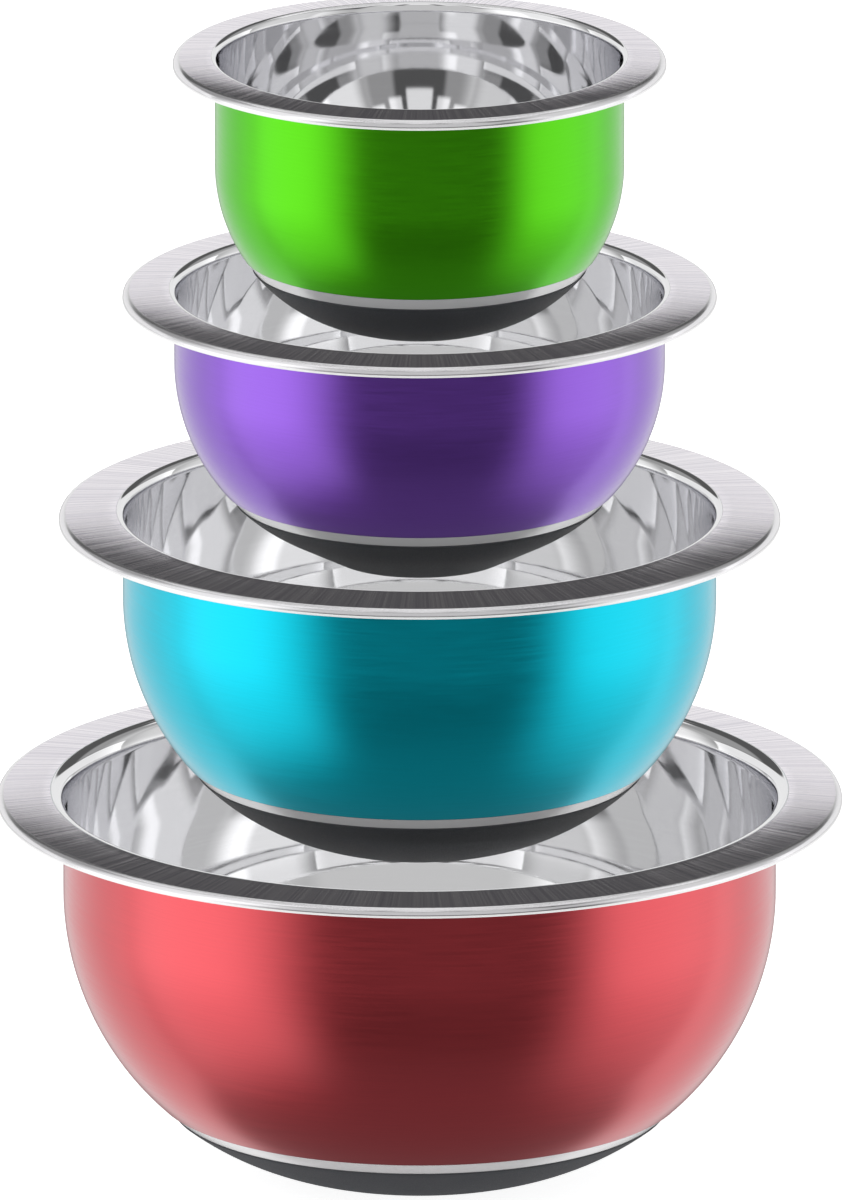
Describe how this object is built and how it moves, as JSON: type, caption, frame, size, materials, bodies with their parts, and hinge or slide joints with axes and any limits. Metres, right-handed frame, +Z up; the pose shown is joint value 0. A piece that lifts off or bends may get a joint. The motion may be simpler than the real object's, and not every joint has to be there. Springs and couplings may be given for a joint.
{
  "type": "nesting mixing bowl set",
  "caption": "Nesting steel mixing bowls with wide flange rims, coloured lacquered sides and dark silicone base cups, stood one above another as a tower.",
  "frame": {"origin": "centre of the flat foot of the largest bowl, on the surface that the set stands on", "axes": "+Z up along the common axis of the bowls; X and Y are any two horizontal directions, because every piece is round"},
  "size_m": [0.2878, 0.2878, 0.3907],
  "materials": {
    "steel": "mirror-polished inside and over the shoulder of the rim, brushed along the flange, brushed band above the base",
    "red_coat": "translucent red lacquer over brushed steel, satin",
    "turquoise_coat": "translucent turquoise lacquer over brushed steel, satin",
    "purple_coat": "translucent purple lacquer over brushed steel, satin",
    "green_coat": "translucent green lacquer over brushed steel, satin",
    "silicone": "matt dark grey silicone",
    "adhesive": "cured clear adhesive, hidden"
  },
  "bodies": {
    "red_bowl": {"red_steel_shell": "steel", "red_colour_coat": "red_coat", "red_silicone_base": "silicone", "red_base_bond": "adhesive"},
    "turquoise_bowl": {"turquoise_steel_shell": "steel", "turquoise_colour_coat": "turquoise_coat", "turquoise_silicone_base": "silicone", "turquoise_base_bond": "adhesive"},
    "purple_bowl": {"purple_steel_shell": "steel", "purple_colour_coat": "purple_coat", "purple_silicone_base": "silicone", "purple_base_bond": "adhesive"},
    "green_bowl": {"green_steel_shell": "steel", "green_colour_coat": "green_coat", "green_silicone_base": "silicone", "green_base_bond": "adhesive"}
  },
  "joints": [
    {"name": "turquoise_lift", "type": "slide", "parent": "red_bowl", "child": "turquoise_bowl", "axis": [0, 0, 1], "range_m": [-0.095, 0.06]},
    {"name": "purple_lift", "type": "slide", "parent": "turquoise_bowl", "child": "purple_bowl", "axis": [0, 0, 1], "range_m": [-0.074, 0.06]},
    {"name": "green_lift", "type": "slide", "parent": "purple_bowl", "child": "green_bowl", "axis": [0, 0, 1], "range_m": [-0.0776, 0.06]}
  ]
}
